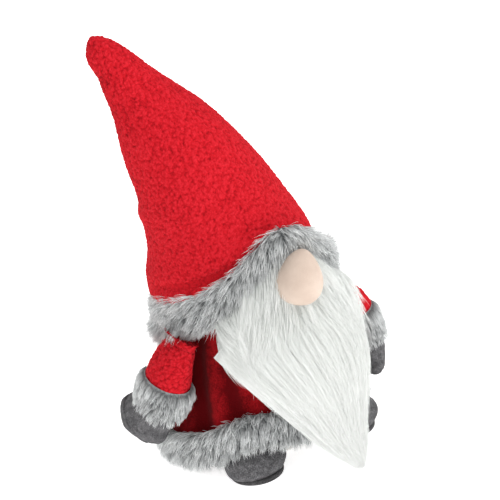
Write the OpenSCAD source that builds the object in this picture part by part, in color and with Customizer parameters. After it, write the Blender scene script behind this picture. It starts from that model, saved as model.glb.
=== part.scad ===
// Tabletop tomte gnome in plush: a weighted body in a flared coat, a tall leaning hat
// with a fur brim, an egg nose, a long free-hanging beard, two sewn arms and two boots.
// Millimetres. The figure faces -Y, its left is +X, and the flat base is on z = 0.
// "Turn" is the angle round the figure: 0 in front, 90 at its left, 180 behind.

/* [Body] */
// Radius of the weighted base
base_r = 46; // [44:1:46]
// Widest radius of the stuffed body, above the boots
body_r = 54.5; // [52:0.5:54.5]
// Height of the top of the head inside the hat
head_top = 196; // [188:1:196]
// Thickness of the sewn fabric
fabric = 2; // [1.5:0.25:2.25]
// Gap between fabric and stuffing
gap = 0.25; // [0.2:0.05:0.3]

/* [Coat] */
// Radius of the coat at its lower edge
coat_hem_r = 82; // [80:1:84]
// Radius of the coat at the neck
coat_neck_r = 65; // [62:0.5:65]
// Highest point of the coat's neck edge, under the brim
coat_top = 132; // [124:1:132]
// Height of the hem band's middle, at the back
hem_back_z = 15.5; // [15.5:0.5:20]
// Height of the hem band's middle, over the boots
hem_front_z = 42; // [42:1:44]
// How much higher the hem arches over each boot
boot_arch = 10; // [10:0.5:11]
// Half the width of the hem's fur band
hem_half = 14; // [12:1:14]
// How far the hem's fur stands off the coat
hem_pile = 9.5; // [6:0.5:9.5]

/* [Hat] */
// Half the hat's width at its mouth
hat_rx = 70; // [69:0.5:71]
// Half the hat's depth at its mouth
hat_ry = 67; // [66.5:0.5:68]
// How far in front of the axis the hat's mouth is centred
hat_y = -6; // [-7:0.5:-5]
// Place of the hat's tip
hat_tip = [-73, 34, 367];
// Radius of the rounded tip
tip_r = 11; // [8:0.5:12]
// Bow of the hat's line between mouth and tip
hat_bow = 14; // [8:1:16]
// Half the width of the brim's fur band
brim_half = 15; // [13:1:15]
// How far the brim's fur stands off the hat
brim_pile = 9; // [7:0.5:10]

/* [Face] */
// Largest radius of the nose
nose_r = 17.5; // [15:0.5:17.5]
// Height of the nose from end to end
nose_h = 44; // [38:1:44]
// Place of the nose's lower end
nose_foot = [-4, -88, 148];
// Height of the edge that the beard hangs from
beard_top = 138; // [134:1:138]
// Half the beard's width where it is widest
beard_half = 68; // [60:1:68]
// Place of the beard's tip
beard_tip = [12, -111, 6];

/* [Arms] */
// Radius of the sleeve where it meets the cuff
sleeve_r = 20.5; // [17:0.5:20.5]
// How far the cuff's fur stands off the sleeve
cuff_pile = 5; // [3:0.5:6]
// Thickness of the arm, as a share of its width
arm_flat = 0.86; // [0.8:0.02:0.9]
// How far forwards the left arm hangs, in degrees
left_swing = 28; // [22:1:30]
// How much lower the left arm is sewn on
left_drop = 7; // [2:0.5:12]
// How much further out the left arm is sewn on, below 0 for further in
left_out = -1; // [-6:0.5:3]
// Size of the left arm, pressed against the body, as a share of the right one's
left_size = 0.88; // [0.84:0.01:0.9]
// How far the thumb stands off the mitten
thumb_w = 9; // [5:1:10]

/* [Boots] */
// Half the distance between the boots
boot_x = 47.5; // [47:0.5:49]
// How far the pair of boots stands to the figure's left
boot_shift = 2.5; // [0:0.5:2.5]
// Length of a boot
boot_len = 46; // [44:1:50]
// Width of a boot
boot_w = 54; // [46:1:54]
// Height of a boot
boot_h = 30; // [28:1:30]
// Thickness of a boot's sole
sole_t = 4; // [3:0.5:5]

/* [Hidden] */

red = "#c81c27";
coat_red = "#8a1319";
grey = "#9a9b9d";
dark_grey = "#636263";
skin = "#e8d8cb";
white = "#e6e8e6";
filling = "#f2f1ec";

panel_t = 2;                              // base panel
board_t = 2.5;                            // base stiffener
board_z = panel_t + gap;
bag_z = board_z + board_t + gap;
bag_h = 24;                               // weight bag
bag_r = base_r - fabric - 3;
bag_wall = 1.2;
body_y = 4;                               // the body stands a little behind the axis
stuffing_z = bag_z + bag_h + gap;
turns = 36;                               // facets round the coat and the hat
beard_x = -8;                             // middle of the edge that the beard hangs from
beard_y = -77;                            // hinge line of the beard
nose_cloth = 1.2;

// ---------- shapes carried along rings of points ----------

function reversed(v) = [for (i = [len(v) - 1:-1:0]) v[i]];
function unit(v) = v / norm(v);
function mix(a, b, t) = a + (b - a) * t;
function bell(x, width) = exp(-x * x / (width * width));

// Faces between ring a and ring b of n points each
function wall(a, b, n) = [for (i = [0:n - 1]) let (j = (i + 1) % n)
    each [[a * n + i, a * n + j, b * n + j], [a * n + i, b * n + j, b * n + i]]];

// A solid from a stack of rings, with a point closing each end
module capped(first_point, rings, last_point) {
    n = len(rings[0]);
    m = len(rings);
    points = concat([for (r = rings) each r], [first_point, last_point]);
    polyhedron(points, concat(
        [for (k = [0:m - 2]) each wall(k, k + 1, n)],
        [for (i = [0:n - 1]) [m * n, (i + 1) % n, i]],
        [for (i = [0:n - 1]) [m * n + 1, (m - 1) * n + i, (m - 1) * n + (i + 1) % n]]));
}

// A solid from rings that close on themselves, such as a tube with a wall
module looped(rings) {
    n = len(rings[0]);
    m = len(rings);
    polyhedron([for (r = rings) each r],
        [for (k = [0:m - 1]) each wall(k, (k + 1) % m, n)]);
}

// Point of a level ring round the figure, at a turn
function at_turn(turn, rx, ry, y, z) = [rx * sin(turn), y - ry * cos(turn), z];
function turn_of(i) = 360 * i / turns;

// ---------- weighted body ----------

neck_z = 104;                             // the head's dome starts here

// Outline of the body, moved in by d: straight base, swell above the boots, domed head
function body_outline(d) = concat(
    [[base_r - d, 0], [base_r + 1 - d, 10], [base_r + 1 - d, 36], [body_r - 1.5 - d, 56],
        [body_r - d, 72]],
    [for (a = [0:10:80]) [(body_r - d) * pow(cos(a), 0.8), neck_z + (head_top - neck_z - d) * sin(a)]],
    [[0, head_top - d]]);

module turned(points) {
    translate([0, body_y, 0]) rotate_extrude($fn = 96) polygon(points);
}

module disc(r, z, h) {
    translate([0, body_y, z]) cylinder(r = r, h = h, $fn = 96);
}

module body_solid(d, low, high) {
    intersection() {
        turned(concat([[0, 0]], body_outline(d)));
        disc(body_r + 20, low, high - low);
    }
}

module base_panel() {
    color(dark_grey) disc(base_r - fabric - gap, 0, panel_t);
}

module base_stiffener() {
    color("#b08f63") disc(base_r - fabric - gap - 1, board_z, board_t);
}

module weight_bag() {
    color(filling) difference() {
        disc(bag_r, bag_z, bag_h);
        disc(bag_r - bag_wall, bag_z + bag_wall, bag_h - 2 * bag_wall);
    }
}

module weight_pellets() {
    color("#8d8a84") disc(bag_r - bag_wall - gap, bag_z + bag_wall + gap,
        bag_h - 2 * bag_wall - 2 * gap);
}

module body_sack() {
    color(filling) difference() {
        body_solid(0, 0, 200);
        body_solid(fabric, -1, 200);
        disc(base_r - fabric, -1, 3);
    }
}

module body_stuffing() {
    color(filling) body_solid(fabric + gap, stuffing_z, 200);
}

// ---------- coat and hem ----------

// 0 behind the figure, 1 in front
function front_share(turn) = pow((1 + cos(turn)) / 2, 1.8);
function hem_z(turn) = let (side = turn > 180 ? 360 - turn : turn)
    mix(hem_back_z, hem_front_z, front_share(turn)) + boot_arch * bell(side - 38, 20);

// The neck edge stays just below the brim
function neck_edge(turn) = min(coat_top, brim_z(turn) - brim_half - 1.5);

// The coat flares towards its hem
function coat_r(s) = mix(coat_neck_r, coat_hem_r, pow(1 - s, 1.5));
coat_rows = 6;

function coat_ring(s, inset) = [for (i = [0:turns - 1]) let (turn = turn_of(i))
    at_turn(turn, coat_r(s) - inset, coat_r(s) - inset, 0, mix(hem_z(turn), neck_edge(turn), s))];

module coat() {
    rows = [for (k = [0:coat_rows]) k / coat_rows];
    color(coat_red) looped(concat(
        [for (s = rows) coat_ring(s, fabric)],
        [for (s = reversed(rows)) coat_ring(s, 0)]));
}

// Rounded band: out is how far it stands off, up is half its width
function band_section(out, up) = [for (k = [0:7]) let (a = 45 * k + 22.5)
    [out * (0.5 + 0.54 * cos(a)), up * 1.082 * sin(a)]];

module hem_fur() {
    section = band_section(hem_pile, hem_half);
    color(grey) looped([for (p = reversed(section))
        [for (i = [0:turns - 1]) let (turn = turn_of(i), r = coat_hem_r + gap + p[0])
            at_turn(turn, r, r, 0, hem_z(turn) + p[1])]]);
}

// ---------- hat ----------

// The brim is lower behind, and arches over the nose
function brim_z(turn) = 138 + 20 * cos(turn) + 38 * bell(turn > 180 ? 360 - turn : turn, 33);
hat_rows = 10;
function brim_up(turn) = brim_half - 3.5 * bell(turn > 180 ? 360 - turn : turn, 33);
hat_mouth = [0, hat_y, 136];

// Centre line, width and edge of the hat at share t of its height
hat_lean = [-hat_tip[0], -hat_tip[1], 0];
function hat_line(t) = mix(hat_mouth, hat_tip, t)
    + hat_bow * sin(180 * pow(t, 0.75)) * unit(hat_lean);
function hat_size(t) = mix(pow(1 - t, 0.86) + 0.08 * sin(180 * pow(t, 0.6))
    - 0.065 * bell(t - 0.8, 0.13), sqrt(1 - pow(t, 12)), tip_r / hat_rx);
function hat_slope(t) = unit(hat_line(min(1, t + 0.05)) - hat_line(max(0, t - 0.05)));

function hat_point(t, turn, inset) = let (
        axis = unit(mix([0, 0, 1], hat_slope(t), min(1, 1.6 * t))),
        side = unit(cross([0, 1, 0], axis)),
        front = cross(side, axis),
        rx = hat_rx * hat_size(t) - inset,
        ry = mix(hat_ry, hat_rx, t) * hat_size(t) - inset,
        edge = (brim_z(turn) - 6 - hat_mouth[2]) * pow(1 - t, 4))
    hat_line(t) + rx * sin(turn) * side + ry * cos(turn) * front + [0, 0, edge];

function hat_ring(t, inset) = [for (i = [0:turns - 1]) hat_point(t, turn_of(i), inset)];
function hat_share(k) = 1 - pow(1 - k / hat_rows, 1.6);

module hat_shell() {
    shares = [for (k = [0:hat_rows - 1]) hat_share(k)];
    color(red) capped(hat_line(1), concat(
        [for (t = reversed(shares)) hat_ring(t, 0)],
        [for (t = shares) hat_ring(t, fabric)]),
        hat_line(1) - 3 * fabric * hat_slope(1));
}

module hat_stuffing() {
    shares = [for (k = [2:hat_rows - 1]) hat_share(k)];
    color(filling) intersection() {
        capped(hat_line(1) - 4.5 * fabric * hat_slope(1),
            [for (t = reversed(shares)) hat_ring(t, fabric + gap)],
            hat_line(shares[0]));
        translate([-100, -100, head_top + gap]) cube(200);
    }
}

module brim_fur() {
    section = band_section(brim_pile, 1);
    color(grey) looped([for (p = reversed(section))
        [for (i = [0:turns - 1]) let (turn = turn_of(i), out = gap + p[0] + 0.4)
            at_turn(turn, hat_rx + out, hat_ry + out, hat_y,
                brim_z(turn) + brim_up(turn) * p[1])]]);
}

// ---------- nose ----------

// Egg: widest below the middle
function egg(inset) = [for (k = [0:14]) let (a = -90 + 180 * k / 14)
    [k % 14 == 0 ? 0 : (nose_r - inset) * cos(a) * (1 - 0.3 * sin(a)),
        nose_h / 2 + (nose_h / 2 - inset) * sin(a)]];

module nose_solid(inset) {
    translate(nose_foot) rotate([6, 13, 0]) rotate_extrude($fn = 48) polygon(egg(inset));
}

module nose_cover() {
    color(skin) difference() {
        nose_solid(0);
        nose_solid(nose_cloth);
    }
}

module nose_stuffing() {
    color(filling) nose_solid(nose_cloth + gap);
}

// ---------- boots ----------

boot_turns = 24;
boot_y = -28 - boot_len / 2;
function boot_mid(side) = side * boot_x + boot_shift;
boot_heights = [0, 0.2, 0.42, 0.64, 0.84, 0.96];

// Size of a boot at share s of its height
function boot_size(s) = sqrt(1 - pow(s, 2.6)) * (0.86 + 0.72 * s - 0.86 * s * s + 0.3 * s * s * s);
function boot_ring(side, s, inset) = [for (i = [0:boot_turns - 1]) let (a = 360 * i / boot_turns)
    [boot_mid(side) + (boot_w / 2 * boot_size(s) - inset) * cos(a),
        boot_y + (boot_len / 2 * boot_size(s) - inset) * sin(a),
        sole_t + gap + (boot_h - sole_t - gap) * s * (1 - inset / 30)]];

module boot(side) {
    color(dark_grey) difference() {
        boot_form(side, 0, 0);
        boot_form(side, fabric, -1);
    }
}

module boot_form(side, inset, lift) {
    translate([0, 0, lift]) capped([boot_mid(side), boot_y, boot_h - inset],
        [for (s = reversed(boot_heights)) boot_ring(side, s, inset)],
        [boot_mid(side), boot_y, sole_t + gap]);
}

module boot_sole(side) {
    color("#555455") translate([boot_mid(side), boot_y, 0]) linear_extrude(sole_t)
        polygon([for (i = [0:boot_turns - 1]) let (a = 360 * i / boot_turns)
            [boot_w * 0.41 * cos(a), boot_len * 0.41 * sin(a)]]);
}

module boot_stuffing(side) {
    color(filling) difference() {
        boot_form(side, fabric + gap, -1 - gap);
        translate([boot_mid(side) - 50, boot_y - 50, -10]) cube([100, 100, 10 + sole_t + gap]);
    }
}

// ---------- arms ----------

arm_turns = 20;
// Middle line of the right arm: shoulder, sleeve, cuff seam, cuff, palm, fingertips
arm_path = [[-78, -19, 116], [-83, -18, 108], [-87, -17, 101], [-90, -15, 93], [-93, -11, 83],
    [-96, -5, 72], [-99, 4, 64], [-104, 14, 58], [-109, 24, 54], [-112, 29, 51]];
// Half the arm's width at each point, as a share of the sleeve's
arm_width = [0.73, 0.83, 0.98, 1, 1, 0.98, 1, 0.94, 0.66, 0];
// Thickness at each point, as a share of the width there: the shoulder is sewn flat
arm_thick = [0.55, 0.7, 0.85];
seam = 3;
cuff_end = 5;
fingertip = 9;

// Place of a point of the right arm on either side, with the arm's own swing forwards
function mirrored(p, side) = let (
        a = side < 0 ? 0 : left_swing,
        d = p - arm_path[0])
    [side < 0 ? p[0] : left_out - p[0], arm_path[0][1] + d[1] * cos(a) + d[2] * sin(a),
        arm_path[0][2] - d[1] * sin(a) + d[2] * cos(a) - (side < 0 ? 0 : left_drop)];
function arm_along(k) = unit(arm_path[min(k + 1, fingertip)] - arm_path[max(k - 1, 0)]);

// Ring k of the arm, grown by d, with the thumb standing off towards the front
function arm_ring(side, k, d, thumb) = let (
        w = arm_along(k),
        v = unit(cross(w, [1, 0, 0])),
        u = cross(v, w),
        r = arm_width[k] * sleeve_r * (side < 0 ? 1 : left_size) + d)
    [for (i = [0:arm_turns - 1]) let (
            a = 360 * i / arm_turns,
            lobe = thumb * bell(a - 80, 32) * bell(k - 7, 0.9),
            flat = arm_flat * (k < 3 ? arm_thick[k] : 1),
            p = arm_path[k] + (r + lobe) * (flat * cos(a) * u + sin(a) * v))
        mirrored(p, side)];
function arm_rings(side, from, to, d, thumb = 0) = let (
        rings = [for (k = [from:to]) arm_ring(side, k, d, thumb)])
    side < 0 ? rings : [for (r = rings) reversed(r)];

module sleeve(side) {
    color(red) looped(concat(arm_rings(side, 0, seam, -fabric),
        reversed(arm_rings(side, 0, seam, 0))));
}

module sleeve_stuffing(side) {
    color(filling) capped(mirrored(arm_path[seam], side),
        reversed(arm_rings(side, 0, seam, -fabric - 2 * gap)), mirrored(arm_path[0], side));
}

module cuff(side) {
    color(grey) looped(concat(arm_rings(side, seam, cuff_end, gap),
        reversed(arm_rings(side, seam, cuff_end, cuff_pile))));
}

module mitten(side) {
    tip = arm_path[fingertip];
    rings = [seam + 1, fingertip - 1];
    color(dark_grey) capped(mirrored(tip, side),
        concat(reversed(arm_rings(side, rings[0], rings[1], 0, thumb_w)),
            arm_rings(side, rings[0], rings[1], -fabric, thumb_w)),
        mirrored(tip - 2.5 * fabric * arm_along(fingertip), side));
}

module mitten_stuffing(side) {
    tip = arm_path[fingertip];
    color(filling) capped(mirrored(tip - 4 * fabric * arm_along(fingertip), side),
        reversed(arm_rings(side, seam + 1, fingertip - 1, -fabric - 4 * gap, thumb_w)),
        mirrored(arm_path[seam + 1], side));
}

// ---------- beard ----------

beard_steps = 10;                         // rows down the beard
beard_cols = 10;                          // columns across it
backing_t = 1.5;
backing_share = 0.6;                      // the backing ends here, and the pile hangs on
pile_gap = 0.9;                           // between the backing and the pile
beard_wrap = 200;                         // the beard curves back round the coat

function beard_swing(s) = min(1, 1.3 * s);
// Middle line of the beard: it swings a little to the figure's left on its way down
function beard_mid(s) = mix([beard_x, beard_y, beard_top], beard_tip, s)
    + [4.5 * sin(180 * beard_swing(s)), 0, 0];
// Half the width: full just under the top, then narrowing to the tip
function beard_w(s) = beard_half * min(0.66 + 2.2 * s,
    pow(1 - s, 0.72) * (1.04 + 0.1 * sin(180 * beard_swing(s))) + 0.02);
// How far the beard sinks in behind the straight line to its tip, over the coat
function beard_sink(s) = s < 0.45 ? 3 * sin(180 * s / 0.45) : 0;
function beard_thick(s) = 16 * pow(sin(180 * mix(0.03, 0.97, pow(s, 0.8))), 0.7);

// Point on the back of the beard at share s of its length and share c of its width
function beard_back(s, c, w, d) = let (x = w * c)
    [beard_mid(s)[0] + x, beard_mid(s)[1] + beard_sink(s) + x * x / beard_wrap - d, beard_mid(s)[2]];

// A solid between two grids of points of the same size
module slab(back, front) {
    m = len(back);
    n = len(back[0]);
    function at(k, i) = k * n + i;
    f = m * n;
    polyhedron(concat([for (r = back) each r], [for (r = front) each r]), concat(
        [for (k = [0:m - 2]) each [for (i = [0:n - 2])
            each [[at(k, i), at(k + 1, i), at(k + 1, i + 1)], [at(k, i), at(k + 1, i + 1), at(k, i + 1)]]]],
        [for (k = [0:m - 2]) each [for (i = [0:n - 2])
            each [[f + at(k, i), f + at(k + 1, i + 1), f + at(k + 1, i)],
                [f + at(k, i), f + at(k, i + 1), f + at(k + 1, i + 1)]]]],
        [for (i = [0:n - 2]) each [[at(0, i), at(0, i + 1), f + at(0, i + 1)],
            [at(0, i), f + at(0, i + 1), f + at(0, i)]]],
        [for (i = [0:n - 2]) each [[at(m - 1, i + 1), at(m - 1, i), f + at(m - 1, i)],
            [at(m - 1, i + 1), f + at(m - 1, i), f + at(m - 1, i + 1)]]],
        [for (k = [0:m - 2]) each [[at(k + 1, 0), at(k, 0), f + at(k, 0)],
            [at(k + 1, 0), f + at(k, 0), f + at(k + 1, 0)]]],
        [for (k = [0:m - 2]) each [[at(k, n - 1), at(k + 1, n - 1), f + at(k + 1, n - 1)],
            [at(k, n - 1), f + at(k + 1, n - 1), f + at(k, n - 1)]]]));
}

module beard_backing() {
    rows = [for (k = [0:beard_steps - 3]) backing_share * k / (beard_steps - 3)];
    cols = [for (i = [0:beard_cols]) 2 * i / beard_cols - 1];
    color(white) slab([for (s = rows) [for (c = cols) beard_back(s, c, 0.85 * beard_w(s), 0)]],
        [for (s = rows) [for (c = cols) beard_back(s, c, 0.85 * beard_w(s), backing_t)]]);
}

module beard_pile() {
    rows = [for (k = [0:beard_steps]) k / beard_steps];
    cols = [for (i = [0:beard_cols]) sin(180 * i / beard_cols - 90)];
    base = backing_t + pile_gap;
    color(white) slab([for (s = rows) [for (c = cols) beard_back(s, c, beard_w(s), base)]],
        [for (s = rows) [for (c = cols) beard_back(s, c, beard_w(s),
            base + 0.8 + beard_thick(s) * pow(max(0, 1 - c * c), 0.35))]]);
}

base_panel();
base_stiffener();
weight_bag();
weight_pellets();
body_sack();
body_stuffing();
coat();
hem_fur();
boot(-1);  // boot_right
boot(1);  // boot_left
boot_sole(-1);  // boot_sole_right
boot_sole(1);  // boot_sole_left
boot_stuffing(-1);  // boot_stuffing_right
boot_stuffing(1);  // boot_stuffing_left
nose_cover();
nose_stuffing();
hat_shell();
hat_stuffing();
brim_fur();
sleeve(-1);  // sleeve_right
sleeve(1);  // sleeve_left
sleeve_stuffing(-1);  // sleeve_stuffing_right
sleeve_stuffing(1);  // sleeve_stuffing_left
cuff(-1);  // cuff_right
cuff(1);  // cuff_left
mitten(-1);  // mitten_right
mitten(1);  // mitten_left
mitten_stuffing(-1);  // mitten_stuffing_right
mitten_stuffing(1);  // mitten_stuffing_left
beard_backing();
beard_pile();
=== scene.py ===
"""Looks of the plush tomte gnome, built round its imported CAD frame.

Shapes are worked out in millimetres, in the frame's own axes: the figure faces -Y, its left is +X
and it stands on z = 0. "Turn" is the angle round the figure in degrees: 0 in front, 90 at its left.
"""
import itertools

import bpy
import numpy as np
from mathutils import Matrix, Vector


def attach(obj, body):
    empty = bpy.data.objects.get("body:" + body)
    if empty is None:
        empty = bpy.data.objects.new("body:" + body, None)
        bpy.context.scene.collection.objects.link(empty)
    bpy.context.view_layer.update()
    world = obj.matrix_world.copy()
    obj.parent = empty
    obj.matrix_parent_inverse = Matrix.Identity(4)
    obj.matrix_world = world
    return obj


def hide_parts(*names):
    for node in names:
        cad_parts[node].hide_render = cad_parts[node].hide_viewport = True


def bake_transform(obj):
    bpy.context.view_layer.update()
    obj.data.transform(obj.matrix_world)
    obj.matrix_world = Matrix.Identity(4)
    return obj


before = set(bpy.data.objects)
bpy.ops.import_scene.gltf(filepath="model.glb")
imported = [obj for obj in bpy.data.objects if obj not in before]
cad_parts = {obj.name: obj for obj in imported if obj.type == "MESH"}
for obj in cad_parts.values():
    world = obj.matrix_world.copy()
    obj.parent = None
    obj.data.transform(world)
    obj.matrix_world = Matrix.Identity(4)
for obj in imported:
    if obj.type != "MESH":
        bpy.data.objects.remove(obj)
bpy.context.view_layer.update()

MM = 0.001

# ---------------------------------------------------------------- camera, light and floor

CAMERA_AT = Vector((-0.7059, -1.1983, 0.7419))
CAMERA_AIM = Vector((0.0085, -0.0105, 0.1685))
CAMERA_ROLL = -9.80
CAMERA_LENS = 133.06
LIGHT_AIM = (0, 0, 0.17)
# Each light's name, place and size in metres, and watts.
LIGHTS = (("key", (1.0, -1.5, 1.7), 1.0, 27), ("fill", (-1.5, -1.3, 0.9), 1.4, 7),
          ("back", (0.2, 1.6, 1.5), 1.2, 9))
WORLD_LIGHT, FLOOR_GLOW = 0.58, 0.75


def add_camera():
    """A long lens from the figure's front right, a little above it, rolled about its own axis."""
    data = bpy.data.cameras.new("camera")
    data.lens = CAMERA_LENS
    data.sensor_width = 36
    data.clip_end = 50
    camera = bpy.data.objects.new("camera", data)
    bpy.context.scene.collection.objects.link(camera)
    turn = (CAMERA_AIM - CAMERA_AT).to_track_quat("-Z", "Y").to_matrix().to_4x4()
    roll = Matrix.Rotation(np.radians(CAMERA_ROLL), 4, "Z")
    camera.matrix_world = Matrix.Translation(CAMERA_AT) @ turn @ roll
    bpy.context.scene.camera = camera


def add_light(name, place, size, watts):
    """A square soft box at a place, turned to the figure's middle."""
    data = bpy.data.lights.new(name, "AREA")
    data.size = size
    data.energy = watts
    lamp = bpy.data.objects.new(name, data)
    bpy.context.scene.collection.objects.link(lamp)
    way = (Vector(LIGHT_AIM) - Vector(place)).to_track_quat("-Z", "Y").to_matrix().to_4x4()
    lamp.matrix_world = Matrix.Translation(place) @ way


add_camera()
bpy.context.scene.view_settings.view_transform = "Standard"

# ---------------------------------------------------------------- numbers and patterns


def sind(angle):
    return np.sin(np.radians(angle))


def cosd(angle):
    return np.cos(np.radians(angle))


def mix(a, b, t):
    return a + (b - a) * t


def bell(x, width):
    """1 at x = 0, falling off smoothly within the width on either side."""
    return np.exp(-(x / width) ** 2)


def ease(low, high, x):
    """0 up to low, 1 from high on, smooth in between."""
    t = np.clip((x - low) / (high - low), 0, 1)
    return t * t * (3 - 2 * t)


def unit(v):
    return v / np.maximum(np.linalg.norm(v, axis=-1, keepdims=True), 1e-9)


def stack(*parts):
    return np.stack(np.broadcast_arrays(*parts), axis=-1)


def crossed(a, b):
    """Two rows of numbers, one upright and one level, spread over the grid that they span."""
    return a + 0 * b, b + 0 * a


def side_of(turn):
    """Degrees away from the front, on either side."""
    turn = np.mod(turn, 360)
    return np.minimum(turn, 360 - turn)


def signed(turn):
    """Degrees away from the front, from -180 to 180."""
    return np.mod(np.asarray(turn) + 180, 360) - 180


def chance(cell, seed):
    """A fixed number from 0 to 1 for each whole-number cell, the same on every run."""
    primes = (73856093, 19349663, 83492791)
    mixed = sum(cell[..., i] * primes[i] for i in range(cell.shape[-1])) + seed * 6542989
    mixed = (mixed ^ (mixed >> 13)) * 1274126177 & 0xFFFFFFFF
    mixed = (mixed ^ (mixed >> 15)) * 668265263 & 0xFFFFFFFF
    return (mixed ^ (mixed >> 16)) / 2 ** 32


def noise(points, size, seed=0):
    """Smooth noise from -1 to 1: chances at the corners of cells of that size, eased between."""
    place = points / size
    cell = np.floor(place).astype(np.int64)
    t = place - cell
    t = t * t * (3 - 2 * t)
    total = 0
    for corner in itertools.product((0, 1), repeat=3):
        weight = np.prod(np.where(corner, t, 1 - t), axis=-1)
        total = total + weight * chance(cell + np.array(corner), seed)
    return 2 * total - 1


def curls(points, size, seed=0):
    """Height of a curly pile, 0 to 1: round tops about one jittered point in each cell of that
    size, with creases half way between neighbours."""
    place = points / size
    cell = np.floor(place).astype(np.int64)
    nearest = np.full(place.shape[:-1], 9.0)
    for step in itertools.product((-1, 0, 1), repeat=3):
        near = cell + np.array(step)
        spot = near + stack(*(chance(near, seed + i) for i in range(3)))
        nearest = np.minimum(nearest, ((place - spot) ** 2).sum(-1))
    return np.clip(1 - 1.7 * nearest, 0, 1)


def warped(points, size, by, seed=0):
    """The points pushed about by smooth noise."""
    return points + by * stack(*(noise(points, size, seed + i) for i in range(3)))


# ---------------------------------------------------------------- meshes from grids


def wall(rows, cols, round_rows=False, round_cols=True):
    """Four-sided faces between neighbouring points of a grid, numbered row by row."""
    i = np.arange(rows if round_rows else rows - 1)[:, None]
    j = np.arange(cols if round_cols else cols - 1)[None, :]
    down, right = (i + 1) % rows, (j + 1) % cols
    faces = stack(i * cols + j, i * cols + right, down * cols + right, down * cols + j)
    return faces.reshape(-1, 4)


def fan(first, cols, pole, flip=False):
    """Three-sided faces that close a ring of points with one more point."""
    j = np.arange(cols)
    faces = stack(first + (j + 1) % cols, first + j, pole)
    return faces[:, ::-1] if flip else faces


def volume(points, faces):
    """Signed volume: below 0 where a closed mesh is inside out."""
    total = 0.0
    for group in faces:
        for k in range(1, group.shape[1] - 1):
            a, b, c = points[group[:, 0]], points[group[:, k]], points[group[:, k + 1]]
            total += np.einsum("ij,ij->", a, np.cross(b, c)) / 6
    return total


def piece(name, points, faces, **attributes):
    """An object from points in millimetres and groups of faces, its faces turned outwards, with
    one number a point for each attribute."""
    points = np.asarray(points, float).reshape(-1, 3)
    if volume(points, faces) < 0:
        faces = [group[:, ::-1] for group in faces]
    mesh = bpy.data.meshes.new(name)
    mesh.vertices.add(len(points))
    mesh.vertices.foreach_set("co", (points * MM).astype(np.float32).ravel())
    corners = np.concatenate([group.ravel() for group in faces]).astype(np.int32)
    sizes = np.concatenate([np.full(len(group), group.shape[1]) for group in faces])
    mesh.loops.add(len(corners))
    mesh.loops.foreach_set("vertex_index", corners)
    mesh.polygons.add(len(sizes))
    starts = np.concatenate([[0], np.cumsum(sizes)[:-1]]).astype(np.int32)
    mesh.polygons.foreach_set("loop_start", starts)
    mesh.polygons.foreach_set("use_smooth", np.ones(len(sizes), bool))
    for key, values in attributes.items():
        layer = mesh.attributes.new(key, "FLOAT", "POINT")
        layer.data.foreach_set("value", np.asarray(values, np.float32).ravel())
    mesh.update(calc_edges=True)
    obj = bpy.data.objects.new(name, mesh)
    bpy.context.scene.collection.objects.link(obj)
    return obj


def finished(obj, material, slot, body, *nodes):
    """Gives a piece its material, the body it rides on and the nodes it stands for. The slot is not
    used.
    """
    obj.data.materials.append(material)
    if body:
        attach(obj, body)
    if nodes:
        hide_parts(*nodes)
    return obj


def outward(points):
    """Outward directions of a grid whose columns close into rings."""
    across = np.roll(points, -1, 1) - np.roll(points, 1, 1)
    along = np.gradient(points, axis=0)
    normal = unit(np.cross(across, along))
    away = points - points.mean(1, keepdims=True)
    return normal * np.sign((normal * away).sum(-1).mean())


def rounded(name, rings, first_pole, last_pole, **attributes):
    """A closed form from a stack of rings, with a pole closing each end."""
    rows, cols = rings.shape[:2]
    last = (rows - 1) * cols
    points = np.concatenate([rings.reshape(-1, 3), [first_pole, last_pole]])
    faces = [wall(rows, cols), fan(0, cols, rows * cols),
             fan(last, cols, rows * cols + 1, flip=True)]
    ends = {key: np.concatenate([value.ravel(), value[0, :1], value[-1, :1]])
            for key, value in attributes.items()}
    return piece(name, points, faces, **ends)


def looped(name, rings, **attributes):
    """A closed band from rings whose last joins its first."""
    return piece(name, rings, [wall(*rings.shape[:2], round_rows=True)], **attributes)


STUFFING_VOXEL, STUFFING_START, STUFFING_PRESSURE, STUFFING_STEPS = 4.0, 1.2, 4, 20
STUFFING_RISE, STUFFING_SINK, STUFFING_CAP = 0.5, 0.3, 2.6


def positions(obj):
    """A piece's points in millimetres, as its modifiers leave them."""
    made = obj.evaluated_get(bpy.context.evaluated_depsgraph_get()).data
    flat = np.empty(len(made.vertices) * 3, np.float32)
    made.vertices.foreach_get("co", flat)
    return flat.reshape(-1, 3) / MM


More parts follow.
